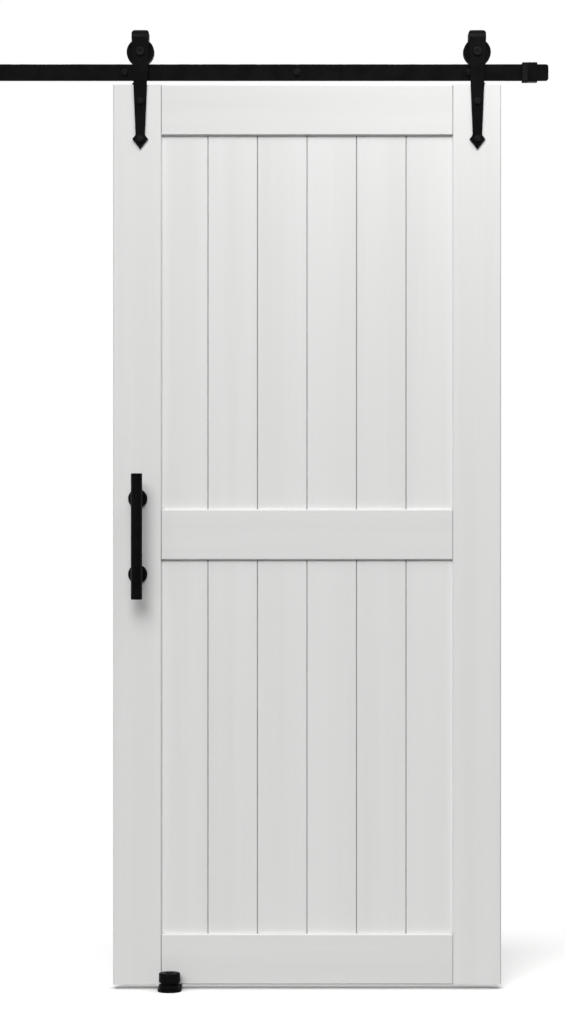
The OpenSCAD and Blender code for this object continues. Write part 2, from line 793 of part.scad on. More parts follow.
// A block or bumper around the track rail
module track_collar(x0, len, h, depth, edge) {
    along_x(x0, len) translate([wheel_mid_y, 0]) difference() {
        round_rect(depth, h, edge);
        square([track_t + 2 * slot_fit, track_h + 2 * slot_fit], center = true);
    }
}

function set_screw_xs(x0) =
    [x0 + stop_len / 2 - set_screw_pitch / 2, x0 + stop_len / 2 + set_screw_pitch / 2];

module stop_block(x0) color(black_coat) difference() {
    track_collar(x0, stop_len, stop_h, stop_depth, stop_round);
    for (x = set_screw_xs(x0)) translate([x, wheel_mid_y, 0])
        cylinder(r = set_screw_d / 2 + press_fit, h = stop_h);
}

module bumper(x0) {
    color(black_rubber) track_collar(x0, bumper_len, bumper_h, bumper_depth, bumper_round);
}

// Set screws that bear on the track rail's top edge
module stop_set_screws() color(black_coat) {
    foot_z = track_h / 2 + press_fit;
    top_z = stop_h / 2 + set_screw_proud;
    for (x0 = [left_stop_x, right_stop_x], x = set_screw_xs(x0)) translate([x, wheel_mid_y, foot_z])
        difference() {
            cylinder(d = set_screw_d, h = top_z - foot_z);
            translate([0, 0, top_z - foot_z - set_screw_d / 2])
                cylinder(r = set_screw_d / 4 / cos(30), h = set_screw_d, $fn = 6);
        }
}

// Floor guide

// Flat base under the leaf with a round front end and a tab folded up behind
module guide_base() color(black_coat) difference() {
    union() {
        translate([0, 0, floor_z]) linear_extrude(guide_t) {
            translate([guide_x, roller_y]) circle(guide_w / 2);
            translate([guide_x - guide_w / 2, roller_y]) square([guide_w, tab_y - fold_r - roller_y]);
        }
        along_x(guide_x - guide_w / 2, guide_w) translate([tab_y - fold_r, floor_z + guide_t + fold_r])
            intersection() {
                difference() {
                    circle(fold_r + guide_t);
                    circle(fold_r);
                }
                translate([0, -fold_r - guide_t]) square(fold_r + guide_t);
            }
        along_y(tab_y, guide_t) translate([guide_x, floor_z]) {
            translate([-guide_w / 2, guide_t + fold_r])
                square([guide_w, tab_h - tab_round - guide_t - fold_r]);
            translate([tab_round - guide_w / 2, guide_t + fold_r])
                square([guide_w - 2 * tab_round, tab_h - guide_t - fold_r]);
            for (s = [-1, 1]) translate([s * (guide_w / 2 - tab_round), tab_h - tab_round]) circle(tab_round);
        }
    }
    translate([guide_x, roller_y, floor_z - overcut])
        cylinder(r = roller_bolt_d / 2 + press_fit, h = guide_t + 2 * overcut);
    hole_r = floor_screw_d / 2 + bolt_fit;
    sink_r = floor_screw_head_d / 2 + bolt_fit;
    for (x = floor_screw_xs) translate([x, door_mid_y, floor_z]) {
        translate([0, 0, -overcut]) cylinder(r = hole_r, h = guide_t + 2 * overcut);
        translate([0, 0, guide_t - floor_sink_h]) cylinder(r1 = hole_r, r2 = sink_r, h = floor_sink_h);
    }
}

module guide_boss() color(black_coat) {
    translate([guide_x, roller_y, floor_z + guide_t]) difference() {
        round_bar(boss_d / 2, boss_h, boss_edge);
        translate([0, 0, -overcut]) cylinder(r = roller_bolt_d / 2 + press_fit, h = boss_h + 2 * overcut);
    }
}

// Roller with a narrower neck below its running face, sunk on top for the bolt's head
module guide_roller() {
    r = roller_d / 2;
    bore_r = roller_bolt_d / 2 + turn_fit;
    top = neck_h + roller_h;
    color(black_plastic) translate([guide_x, roller_y, boss_top_z + roller_end_gap])
        rotate_extrude() polygon(concat(
            [[bore_r, 0], [neck_d / 2, 0], [neck_d / 2, neck_h]],
            arc(r - roller_round, neck_h + roller_round, roller_round, -90, 0),
            arc(r - roller_round, top - roller_round, roller_round, 0, 90),
            [[bore_r, top]]
        ));
}

module roller_bolt() color(black_coat) {
    foot_z = floor_z + end_play;
    head_z = roller_top_z + roller_end_gap;
    translate([guide_x, roller_y, 0]) {
        translate([0, 0, foot_z]) cylinder(d = roller_bolt_d, h = head_z - foot_z + overcut);
        translate([0, 0, head_z]) round_bar(roller_head_d / 2, roller_head_h, roller_head_edge);
    }
}

// Plastic plate on the folded tab, facing the leaf's back
module wear_pad() color(white_plastic) {
    z0 = door_bottom_z + pad_rise;
    h = floor_z + tab_h - tab_round / 2 - z0;
    along_x(guide_x - pad_w / 2, pad_w) bevelled_rect(tab_y - pad_t, z0, pad_t, h, pad_edge);
}

// Countersunk screws through the base
module floor_screws() color(black_coat) {
    head_z = guide_t - floor_sink_h;
    for (x = floor_screw_xs) translate([x, door_mid_y, floor_z]) {
        translate([0, 0, -floor_screw_depth]) cylinder(d = floor_thread_d, h = floor_screw_depth + overcut);
        cylinder(d = floor_screw_d, h = head_z);
        translate([0, 0, head_z])
            cylinder(d1 = floor_screw_d, d2 = floor_screw_head_d, h = floor_sink_h);
    }
}

left_stile();
right_stile();
frame_rail(top_rail_z, true, false);  // top_rail
frame_rail(middle_rail_z, true, true);  // middle_rail
frame_rail(bottom_rail_z, false, true);  // bottom_rail
for (i = [1 : plank_count]) {
    plank(i, upper_panel);
    plank(i, lower_panel);
}
frame_dowels();
hanger_strap(left_axle_x);  // left_hanger_strap
hanger_strap(right_axle_x);  // right_hanger_strap
wheel(left_axle_x);  // left_wheel
wheel(right_axle_x);  // right_wheel
bearing_outer_race(left_axle_x);  // left_bearing_outer_race
bearing_outer_race(right_axle_x);  // right_bearing_outer_race
bearing_balls(left_axle_x);  // left_bearing_balls
bearing_balls(right_axle_x);  // right_bearing_balls
bearing_inner_races();
axle_bolts();
axle_nuts();
axle_spacers();
hanger_bolts();
hanger_washers();
hanger_nuts();
anti_jump_disc(disc_xs[0]);  // left_anti_jump_disc
anti_jump_disc(disc_xs[1]);  // right_anti_jump_disc
anti_jump_screws();
handle_bar();
handle_post(handle_heights[0]);  // handle_upper_post
handle_post(handle_heights[1]);  // handle_lower_post
handle_rosette(handle_heights[0]);  // handle_upper_rosette
handle_rosette(handle_heights[1]);  // handle_lower_rosette
handle_bolts();
handle_washers();
track_rail();
rail_spacers();
lag_bolts();
lag_washers();
stop_block(left_stop_x);  // left_stop
stop_block(right_stop_x);  // right_stop
bumper(left_stop_x + stop_len);  // left_bumper
bumper(right_stop_x - bumper_len);  // right_bumper
stop_set_screws();
guide_base();
guide_boss();
guide_roller();
roller_bolt();
wear_pad();
floor_screws();
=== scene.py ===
"""Looks of a white plank barn door that hangs on black track hardware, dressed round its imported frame."""

import math
from collections import namedtuple

import bmesh
import bpy
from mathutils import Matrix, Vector


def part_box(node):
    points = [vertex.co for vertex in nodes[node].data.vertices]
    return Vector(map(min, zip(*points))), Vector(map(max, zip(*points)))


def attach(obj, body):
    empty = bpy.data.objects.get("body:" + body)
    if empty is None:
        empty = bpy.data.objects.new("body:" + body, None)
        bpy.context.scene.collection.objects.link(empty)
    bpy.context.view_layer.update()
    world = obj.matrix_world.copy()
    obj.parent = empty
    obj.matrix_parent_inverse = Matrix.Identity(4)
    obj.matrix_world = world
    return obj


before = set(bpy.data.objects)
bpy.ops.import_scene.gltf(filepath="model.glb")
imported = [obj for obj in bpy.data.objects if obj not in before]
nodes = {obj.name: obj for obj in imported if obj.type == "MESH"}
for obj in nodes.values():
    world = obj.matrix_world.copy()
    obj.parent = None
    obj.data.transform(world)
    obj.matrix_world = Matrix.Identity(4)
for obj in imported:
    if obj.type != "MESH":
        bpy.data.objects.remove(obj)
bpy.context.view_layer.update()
scene = bpy.context.scene

# Places taken from the frame
leaf_low, leaf_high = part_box("left_stile")[0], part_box("right_stile")[1]
leaf_front = leaf_low.y
floor_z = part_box("guide_base")[0].z
wheel_y = (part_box("left_wheel")[0].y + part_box("left_wheel")[1].y) / 2
rail_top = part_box("track_rail")[1].z

# The photograph's frame and where the leaf lies in it, in pixels; the eye looks at the frame's middle
IMAGE_W, IMAGE_H = 565, 1024
LEAF_LEFT_PX, LEAF_RIGHT_PX, LEAF_TOP_PX = 113.1, 501.1, 84.6
EYE_X_PX, EYE_Y_PX = IMAGE_W / 2, IMAGE_H / 2

# The eye: its distance from the leaf and its nearest sight in metres, its sensor's height in millimetres
EYE_DISTANCE, EYE_NEAREST, SENSOR = 6.5, 0.05, 36.0

# White paint: how the grain is stretched, the tones between which it plays,
# what rubbed edges turn to, and the painted shade in corners. The crosspieces are a shade darker.
GRAIN_ALONG, GRAIN_ACROSS = 3.0, 130.0
PAINT_TONES = (0.838, 0.837, 0.834), (0.878, 0.878, 0.876)
PAINT_RUBBED = (0.79, 0.788, 0.78)
PAINT_CORNER_SHADE = (0.33, 0.325, 0.315)
CROSSPIECE_SHADE = 0.98

# Black coat: its tones, what its edges turn to (wear with a painted edge highlight), and what running faces
# turn to
COAT_TONES = (0.0014, 0.0014, 0.0016), (0.0032, 0.0031, 0.0033)
COAT_EDGE_SHEEN_AND_WEAR, COAT_SHEEN_AND_WEAR_SHARE = (0.050, 0.049, 0.047), 0.7
COAT_POLISHED = (0.36, 0.355, 0.345)

# Running faces, in metres: from the middle of a wheel's groove, below the rail's top edge,
# and along the rail from its middle; bright up to the first value and dull from the second
GROOVE_BRIGHT, GROOVE_DULL = 0.0036, 0.0052
EDGE_BRIGHT, EDGE_DULL = 0.0002, 0.0012
RUN_BRIGHT, RUN_DULL = 0.80, 0.92

# Tones of the smaller finishes; a moulded edge is rubbed to a lighter tone of its own
RUBBER_TONES = (0.0045, 0.0045, 0.0045), (0.0080, 0.0080, 0.0078)
BLACK_PLASTIC_TONES = (0.0018, 0.0018, 0.0019), (0.0036, 0.0036, 0.0038)
WHITE_PLASTIC_TONES = (0.76, 0.76, 0.74), (0.82, 0.82, 0.80)
MOULD_RUB_SHARE, MOULD_RUB_LIGHTER = 0.4, 1.6
STEEL_TONES, STEEL_RUBBED = ((0.50, 0.505, 0.515), (0.64, 0.645, 0.65)), (0.74, 0.745, 0.75)
BEECH_TONES, BEECH_STRETCH = ((0.42, 0.27, 0.15), (0.60, 0.43, 0.27)), (8.0, 380.0, 380.0)

# Lag bolts and floor screws, as the part has their shanks, in metres
Thread = namedtuple("Thread", "root crest lead length")
LAG_COUNT, LAG_PITCH = 5, 0.4064
LAG_THREAD = Thread(root=0.0036, crest=0.0041, lead=0.0030, length=0.047)
SCREW_THREAD = Thread(root=0.0022, crest=0.00265, lead=0.0019, length=0.026)
# A thread's start past the wall or floor, how deep its ridge is let into the shank,
# half the ridge's foot as a share of the lead, and the steps in a turn
THREAD_START, THREAD_SUNK, THREAD_FOOT, TURN_STEPS = 0.0005, 0.0002, 0.28, 20

# Floor: the tone that throws light back, the tone that is seen, and how far it is lifted towards white
FLOOR_BOUNCE, FLOOR_SEEN, FLOOR_LIFT = (0.20, 0.198, 0.195), (0.93, 0.93, 0.925), 0.34
# Its half side, middle, squares along a side, and how far it lies below the guide
FLOOR_HALF, FLOOR_X, FLOOR_SQUARES, FLOOR_DROP = 9.0, 0.43, 8, 0.0002
# The oval round the leaf past which it fades to white: scale and offset, then where the fade starts and ends
FADE_SCALE, FADE_X, FADE_Y = (0.62, 1.0, 1.0), -0.43, 0.05
FADE_NEAR, FADE_FAR = 0.45, 1.0
# Within this reach, and between these shares of open sky, the lift is held back: real shadow under the leaf,
# deepened by painted shade
LIFT_REACH, LIFT_SHUT, LIFT_OPEN = 0.08, 0.30, 0.90

# Light: the faint light from all round, the samples that a sheltered point takes, and the lamps' whites
AMBIENT, AMBIENT_TINT = 0.05, (0.99, 0.995, 1.0)
SKY_SAMPLES, BEVEL_SAMPLES = 8, 4
LAMP_WHITE, CEILING_WHITE, SIDE_WHITE = (1.0, 0.998, 0.995), (1.0, 0.997, 0.993), (0.985, 0.993, 1.0)
WHITE = (1.0, 1.0, 1.0)


def feed(tree, socket, value):
    """Sets a socket to a number or a colour, or links another node's output to it."""
    if isinstance(value, (int, float)):
        socket.default_value = value
    elif isinstance(value, (tuple, list)):
        socket.default_value = (*value, 1.0)
    else:
        tree.links.new(value, socket)


def group_tree(name, inputs, outputs):
    """A shader node group with named sockets, and its two end nodes."""
    tree = bpy.data.node_groups.new(name, "ShaderNodeTree")
    for label, kind, value in inputs:
        socket = tree.interface.new_socket(label, in_out="INPUT", socket_type=kind)
        if value is not None:
            socket.default_value = value
    for label, kind in outputs:
        tree.interface.new_socket(label, in_out="OUTPUT", socket_type=kind)
    return tree, tree.nodes.new("NodeGroupInput"), tree.nodes.new("NodeGroupOutput")


def noise(tree, vector, scale, detail, roughness):
    node = tree.nodes.new("ShaderNodeTexNoise")
    feed(tree, node.inputs["Vector"], vector)
    feed(tree, node.inputs["Scale"], scale)
    feed(tree, node.inputs["Detail"], detail)
    feed(tree, node.inputs["Roughness"], roughness)
    return node.outputs["Fac"]


def spread(tree, value, low, high, out_low=0.0, out_high=1.0, smooth=True):
    """A value taken from the range low to high over to another range, and held at its ends."""
    node = tree.nodes.new("ShaderNodeMapRange")
    node.interpolation_type = "SMOOTHSTEP" if smooth else "LINEAR"
    feed(tree, node.inputs["Value"], value)
    feed(tree, node.inputs["From Min"], low)
    feed(tree, node.inputs["From Max"], high)
    feed(tree, node.inputs["To Min"], out_low)
    feed(tree, node.inputs["To Max"], out_high)
    return node.outputs["Result"]


def sums(tree, operation, *values):
    node = tree.nodes.new("ShaderNodeMath")
    node.operation = operation
    for socket, value in zip(node.inputs, values):
        feed(tree, socket, value)
    return node.outputs["Value"]


def between(tree, share, first, second):
    """A colour from first to second by a share; each is a colour or another node's colour."""
    node = tree.nodes.new("ShaderNodeMix")
    node.data_type = "RGBA"
    feed(tree, node.inputs["Factor"], share)
    colours = [s for s in node.inputs if s.type == "RGBA"]
    for socket, value in zip(colours, (first, second)):
        feed(tree, socket, value)
    return [s for s in node.outputs if s.type == "RGBA"][0]


def open_sky(tree, reach):
    """How open a point is within a reach: 1 on a bare face, less in a corner or under something."""
    node = tree.nodes.new("ShaderNodeAmbientOcclusion")
    node.samples = SKY_SAMPLES
    feed(tree, node.inputs["Distance"], reach)
    return node.outputs["AO"]


def make_brushed_grain():
    """Timber grain that shows through paint, and the streaks of the brush along it."""
    tree, start, end = group_tree(
        "brushed_grain",
        [("Vector", "NodeSocketVector", None)],
        [("Height", "NodeSocketFloat"), ("Tone", "NodeSocketFloat")],
    )
    vector = start.outputs["Vector"]
    fine_share, streak_share = 0.45, 0.35
    streaks = noise(tree, vector, scale=1.0, detail=4.0, roughness=0.6)
    fine = noise(tree, vector, scale=4.0, detail=2.0, roughness=0.5)
    clouds = noise(tree, vector, scale=0.11, detail=2.0, roughness=0.5)
    tone = sums(tree, "MULTIPLY_ADD", streaks, streak_share, clouds)
    feed(tree, end.inputs["Height"], sums(tree, "MULTIPLY_ADD", fine, fine_share, streaks))
    feed(tree, end.inputs["Tone"], spread(tree, tone, low=0.45, high=0.95))
    return tree


def make_coat_peel():
    """The fine peel of a baked or moulded finish, with broad patches of more or less gloss."""
    tree, start, end = group_tree(
        "coat_peel",
        [("Vector", "NodeSocketVector", None), ("Fineness", "NodeSocketFloat", 700.0)],
        [("Height", "NodeSocketFloat"), ("Patches", "NodeSocketFloat")],
    )
    vector, fineness = start.outputs["Vector"], start.outputs["Fineness"]
    speck_finer, patch_broader, speck_share = 3.1, 0.035, 0.3
    speck_scale = sums(tree, "MULTIPLY", fineness, speck_finer)
    patch_scale = sums(tree, "MULTIPLY", fineness, patch_broader)
    peel = noise(tree, vector, fineness, detail=2.0, roughness=0.5)
    specks = noise(tree, vector, speck_scale, detail=1.0, roughness=0.5)
    patches = noise(tree, vector, patch_scale, detail=3.0, roughness=0.6)
    feed(tree, end.inputs["Height"], sums(tree, "MULTIPLY_ADD", specks, speck_share, peel))
    feed(tree, end.inputs["Patches"], spread(tree, patches, low=0.35, high=0.68))
    return tree


def make_edge_wear_and_sheen():
    """Broken edges: a normal that rounds them, and a mask of where hands and tools have rubbed, which on the
    black coat also carries a painted edge highlight.
    """
    tree, start, end = group_tree(
        "edge_wear_and_sheen",
        [("Vector", "NodeSocketVector", None), ("Radius", "NodeSocketFloat", 0.0008)],
        [("Normal", "NodeSocketVector"), ("Wear_and_sheen", "NodeSocketFloat")],
    )
    bevel = tree.nodes.new("ShaderNodeBevel")
    bevel.samples = BEVEL_SAMPLES
    feed(tree, bevel.inputs["Radius"], start.outputs["Radius"])
    plain = tree.nodes.new("ShaderNodeNewGeometry")
    dot = tree.nodes.new("ShaderNodeVectorMath")
    dot.operation = "DOT_PRODUCT"
    feed(tree, dot.inputs[0], bevel.outputs["Normal"])
    feed(tree, dot.inputs[1], plain.outputs["Normal"])
    turned = spread(tree, dot.outputs["Value"], low=0.97, high=0.80)
    chips = noise(tree, start.outputs["Vector"], scale=240.0, detail=4.0, roughness=0.65)
    broken = spread(tree, chips, low=0.45, high=0.62)
    feed(tree, end.inputs["Normal"], bevel.outputs["Normal"])
    feed(tree, end.inputs["Wear_and_sheen"], sums(tree, "MULTIPLY", turned, broken))
    return tree


def make_painted_corner_shade():
    """Painted shade in inner corners and open lines: 0 on open faces, 1 deep in a corner."""
    tree, start, end = group_tree(
        "painted_corner_shade",
        [("Reach", "NodeSocketFloat", 0.010)],
        [("Painted_shade", "NodeSocketFloat")],
    )
    sky = open_sky(tree, start.outputs["Reach"])
    feed(tree, end.inputs["Painted_shade"], spread(tree, sky, low=0.55, high=0.20))
    return tree


brushed_grain = make_brushed_grain()
coat_peel = make_coat_peel()
edge_wear_and_sheen = make_edge_wear_and_sheen()
painted_corner_shade = make_painted_corner_shade()


class Finish:
    """A material with its Principled shader, Object coordinates and the shared effects."""

    def __init__(self, name, specular=0.5, metallic=0.0):
        self.material = bpy.data.materials.new(name)
        self.material.use_nodes = True
        self.tree = self.material.node_tree
        self.shader = self.tree.nodes["Principled BSDF"]
        self.shader.inputs["Specular IOR Level"].default_value = specular
        self.shader.inputs["Metallic"].default_value = metallic
        self.place = self.tree.nodes.new("ShaderNodeTexCoord").outputs["Object"]

    def stretched(self, scale):
        node = self.tree.nodes.new("ShaderNodeMapping")
        node.inputs["Scale"].default_value = scale
        feed(self.tree, node.inputs["Vector"], self.place)
        return node.outputs["Vector"]

    def coordinate(self, axis):
        node = self.tree.nodes.new("ShaderNodeSeparateXYZ")
        feed(self.tree, node.inputs["Vector"], self.place)
        return node.outputs[axis]

    def effect(self, group, vector=None, **values):
        node = self.tree.nodes.new("ShaderNodeGroup")
        node.node_tree = group
        if vector is not None:
            feed(self.tree, node.inputs["Vector"], vector)
        for label, value in values.items():
            node.inputs[label].default_value = value
        return node.outputs

    def sums(self, operation, *values):
        return sums(self.tree, operation, *values)

    def spread(self, value, *ends, **options):
        return spread(self.tree, value, *ends, **options)

    def between(self, share, first, second):
        return between(self.tree, share, first, second)

    def colour(self, value):
        feed(self.tree, self.shader.inputs["Base Color"], value)

    def metal(self, mask):
        feed(self.tree, self.shader.inputs["Metallic"], mask)

    def roughness(self, mask, first, last):
        """Roughness from first, where the mask is 0, to last, where it is 1."""
        value = self.spread(mask, 0.0, 1.0, first, last, smooth=False)
        feed(self.tree, self.shader.inputs["Roughness"], value)

    def relief(self, height, depth, strength, normal=None):
        bump = self.tree.nodes.new("ShaderNodeBump")
        feed(self.tree, bump.inputs["Distance"], depth)
        feed(self.tree, bump.inputs["Strength"], strength)
        feed(self.tree, bump.inputs["Height"], height)
        if normal is not None:
            feed(self.tree, bump.inputs["Normal"], normal)
        feed(self.tree, self.shader.inputs["Normal"], bump.outputs["Normal"])


def make_white_paint(name, stretch, shade=1.0):
    """Satin white paint on timber; the grain runs the way that stretch is small."""
    finish = Finish(name, specular=0.28)
    grain = finish.effect(brushed_grain, finish.stretched(stretch))
    edge_marks = finish.effect(edge_wear_and_sheen, finish.place, Radius=0.0011)
    shade_in_corners = finish.effect(painted_corner_shade, Reach=0.010)
    dark, light = [[shade * c for c in tone] for tone in PAINT_TONES]
    paint = finish.between(grain["Tone"], dark, light)
    paint = finish.between(edge_marks["Wear_and_sheen"], paint, PAINT_RUBBED)
    # Painted shade: the paint darkens in inner corners, under the rails and along the open lines.
    finish.colour(finish.between(shade_in_corners["Painted_shade"], paint, PAINT_CORNER_SHADE))
    finish.roughness(grain["Tone"], first=0.58, last=0.47)
    finish.relief(grain["Height"], depth=0.0004, strength=0.22, normal=edge_marks["Normal"])
    return finish.material


def make_black_coat(name, worn=None, specular=0.04, rough=(0.32, 0.48)):
    """Black baked coat on steel. worn gives a mask of where a rolling contact has polished it."""
    finish = Finish(name, specular=specular)
    peel = finish.effect(coat_peel, finish.place, Fineness=750.0)
    edge_marks = finish.effect(edge_wear_and_sheen, finish.place, Radius=0.0009)
    coat = finish.between(peel["Patches"], *COAT_TONES)
    # The edges lighten: wear, and a painted highlight along them.
    coat = finish.between(finish.sums("MULTIPLY", edge_marks["Wear_and_sheen"], COAT_SHEEN_AND_WEAR_SHARE), coat, COAT_EDGE_SHEEN_AND_WEAR)
    if worn is not None:
        mask = worn(finish, peel["Patches"])
        coat = finish.between(mask, coat, COAT_POLISHED)
        finish.metal(mask)
    finish.colour(coat)
    finish.roughness(peel["Patches"], *rough)
    finish.relief(peel["Height"], depth=0.00014, strength=0.60, normal=edge_marks["Normal"])
    return finish.material


def groove_polish(finish, patches):
    """The bottom of the wheel's groove, bright from running on the rail."""
    off = finish.sums("ABSOLUTE", finish.sums("SUBTRACT", finish.coordinate("Y"), wheel_y))
    near = finish.spread(off, GROOVE_DULL, GROOVE_BRIGHT)
    uneven = finish.spread(patches, 0.0, 1.0, out_low=0.55, out_high=0.9, smooth=False)
    return finish.sums("MULTIPLY", near, uneven)


def rail_polish(finish, patches):
    """The rail's top edge, bright where the wheels run."""
    near = finish.spread(finish.coordinate("Z"), rail_top - EDGE_DULL, rail_top - EDGE_BRIGHT)
    run = finish.spread(finish.sums("ABSOLUTE", finish.coordinate("X")), RUN_DULL, RUN_BRIGHT)
    uneven = finish.spread(patches, 0.2, 0.8, out_low=0.25, out_high=0.85, smooth=False)
    return finish.sums("MULTIPLY", finish.sums("MULTIPLY", near, run), uneven)


def make_moulded(name, tones, fineness, rough, specular, bump):
    """A moulded finish, rubber or plastic, with its faint mould texture."""
    finish = Finish(name, specular=specular)
    peel = finish.effect(coat_peel, finish.place, Fineness=fineness)
    edge_marks = finish.effect(edge_wear_and_sheen, finish.place, Radius=0.0012)
    body = finish.between(peel["Patches"], *tones)
    rubbed = [c * MOULD_RUB_LIGHTER for c in tones[1]]
    finish.colour(finish.between(finish.sums("MULTIPLY", edge_marks["Wear_and_sheen"], MOULD_RUB_SHARE), body, rubbed))
    finish.roughness(peel["Patches"], *rough)
    finish.relief(peel["Height"], depth=0.00015, strength=bump, normal=edge_marks["Normal"])
    return finish.material


def make_bare_steel(name):
    """Bright plated steel with a soft uneven gloss."""
    finish = Finish(name, metallic=1.0)
    peel = finish.effect(coat_peel, finish.place, Fineness=500.0)
    edge_marks = finish.effect(edge_wear_and_sheen, finish.place, Radius=0.0005)
    steel = finish.between(peel["Patches"], *STEEL_TONES)
    finish.colour(finish.between(edge_marks["Wear_and_sheen"], steel, STEEL_RUBBED))
    finish.roughness(peel["Patches"], first=0.22, last=0.38)
    finish.relief(peel["Height"], depth=0.00006, strength=0.2, normal=edge_marks["Normal"])
    return finish.material


def make_bare_wood(name):
    """Unpainted beech for the dowels."""
    finish = Finish(name, specular=0.3)
    grain = finish.effect(brushed_grain, finish.stretched(BEECH_STRETCH))
    finish.colour(finish.between(grain["Tone"], *BEECH_TONES))
    finish.roughness(grain["Tone"], first=0.70, last=0.55)
    finish.relief(grain["Height"], depth=0.0003, strength=0.4)
    return finish.material


white_upright = make_white_paint("white_paint_upright", (GRAIN_ACROSS, GRAIN_ACROSS, GRAIN_ALONG))
white_across = make_white_paint(
    "white_paint_across", (GRAIN_ALONG, GRAIN_ACROSS, GRAIN_ACROSS), CROSSPIECE_SHADE
)
black_coat = make_black_coat("black_coat")
black_bolt = make_black_coat("black_coat_bolt", specular=0.10, rough=(0.22, 0.34))
black_wheel = make_black_coat("black_coat_wheel", groove_polish)
black_rail = make_black_coat("black_coat_rail", rail_polish)
black_rubber = make_moulded(
    "black_rubber", RUBBER_TONES, fineness=900.0, rough=(0.70, 0.88), specular=0.10, bump=0.5
)
black_plastic = make_moulded(
    "black_plastic", BLACK_PLASTIC_TONES, fineness=1300.0, rough=(0.42, 0.58), specular=0.04, bump=0.3
)
white_plastic = make_moulded(
    "white_plastic", WHITE_PLASTIC_TONES, fineness=1000.0, rough=(0.35, 0.5), specular=0.4, bump=0.2
)
bare_steel = make_bare_steel("bare_steel")
bare_wood = make_bare_wood("bare_wood")

CROSSPIECES = ("top_rail", "middle_rail", "bottom_rail")
STEEL_WORDS = ("race", "balls", "axle_spacers")
BOLT_WORDS = ("bolt", "washers", "nuts", "screws")
SPECIAL = {
    "frame_dowels": bare_wood,
    "wear_pad": white_plastic,
    "guide_roller": black_plastic,
    "left_anti_jump_disc": black_plastic,
    "right_anti_jump_disc": black_plastic,
    "left_bumper": black_rubber,
    "right_bumper": black_rubber,
    "left_wheel": black_wheel,
    "right_wheel": black_wheel,
    "track_rail": black_rail,
}


def finish_of(name):
    if name in SPECIAL:
        return SPECIAL[name]
    if name.endswith("_stile") or "_plank_" in name:
        return white_upright
    if name in CROSSPIECES:
        return white_across
    if any(word in name for word in STEEL_WORDS):
        return bare_steel
    if any(word in name for word in BOLT_WORDS):
        return black_bolt
    return black_coat


for name, piece in nodes.items():
    piece.data.materials.clear()
    piece.data.materials.append(finish_of(name))


def object_from(bm, name, material):
    mesh = bpy.data.meshes.new(name)
    bm.to_mesh(mesh)
    bm.free()
    mesh.materials.append(material)
    made = bpy.data.objects.new(name, mesh)
    scene.collection.objects.link(made)
    return made


def thread_ridge(bm, foot, axis, thread):
    """One helical ridge about axis from foot: a small V spun and drawn along, open at both ends."""
    side = Vector((1, 0, 0))
    half = axis * (thread.lead * THREAD_FOOT)
    inner = foot + half + side * (thread.root - THREAD_SUNK)
    crest = foot + half + side * thread.crest
    verts = [bm.verts.new(corner) for corner in (inner - half, crest, inner + half)]
    edges = [bm.edges.new((verts[i - 1], verts[i])) for i in (1, 2, 0)]
    steps = int((thread.length - 2 * half.length) / thread.lead * TURN_STEPS)
    bmesh.ops.spin(
        bm,
        geom=verts + edges,
        cent=foot,
        axis=axis,
        dvec=axis * (thread.lead / TURN_STEPS),
        angle=steps * 2 * math.pi / TURN_STEPS,
        steps=steps,
        use_merge=False,
        use_duplicate=False,
    )


def threaded_piece(name, feet, axis, thread, body, material):
    """The ridges of a row of bolts or screws in one piece, each closed at both ends."""
    bm = bmesh.new()
    for foot in feet:
        thread_ridge(bm, foot, axis, thread)
    bmesh.ops.holes_fill(bm, edges=[e for e in bm.edges if e.is_boundary], sides=4)
    bmesh.ops.recalc_face_normals(bm, faces=bm.faces)
    piece = object_from(bm, name, material)
    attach(piece, body)


to_wall, to_ground = Vector((0, 1, 0)), Vector((0, 0, -1))
lag_xs = [(i - (LAG_COUNT - 1) / 2) * LAG_PITCH for i in range(LAG_COUNT)]
lag_feet = [Vector((x, THREAD_START, 0)) for x in lag_xs]
threaded_piece("lag_threads", lag_feet, to_wall, LAG_THREAD, "track", black_coat)
screw_low, screw_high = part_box("floor_screws")
screw_y = (screw_low.y + screw_high.y) / 2
head_r = (screw_high.y - screw_low.y) / 2
screw_xs = screw_low.x + head_r, screw_high.x - head_r
screw_feet = [Vector((x, screw_y, floor_z - THREAD_START)) for x in screw_xs]
threaded_piece("floor_screw_threads", screw_feet, to_ground, SCREW_THREAD, "track", black_coat)


def camera_rays(tree):
    """1 where a camera, glossy or transmitted ray asks, 0 for the light that falls on the door."""
    path = tree.nodes.new("ShaderNodeLightPath")
    seen = sums(tree, "MAXIMUM", path.outputs["Is Camera Ray"], path.outputs["Is Glossy Ray"])
    return sums(tree, "MAXIMUM", seen, path.outputs["Is Transmission Ray"])


def emitter(tree, kind, colour, strength):
    """The output of a Background or Emission node."""
    node = tree.nodes.new(kind)
    feed(tree, node.inputs["Color"], colour)
    feed(tree, node.inputs["Strength"], strength)
    return node.outputs[0]


def shader_between(tree, share, first, second):
    mix = tree.nodes.new("ShaderNodeMixShader")
    feed(tree, mix.inputs["Fac"], share)
    feed(tree, mix.inputs[1], first)
    feed(tree, mix.inputs[2], second)
    return mix.outputs["Shader"]


def make_world():
    """A white ground for the eye and for reflections, and a faint light from all round on the door."""
    world = bpy.data.worlds.new("pale_studio")
    scene.world = world
    world.use_nodes = True
    tree = world.node_tree
    tree.nodes.clear()
    lit = emitter(tree, "ShaderNodeBackground", AMBIENT_TINT, AMBIENT)
    shown = emitter(tree, "ShaderNodeBackground", WHITE, 1.0)
    out = tree.nodes.new("ShaderNodeOutputWorld")
    feed(tree, out.inputs["Surface"], shader_between(tree, camera_rays(tree), lit, shown))


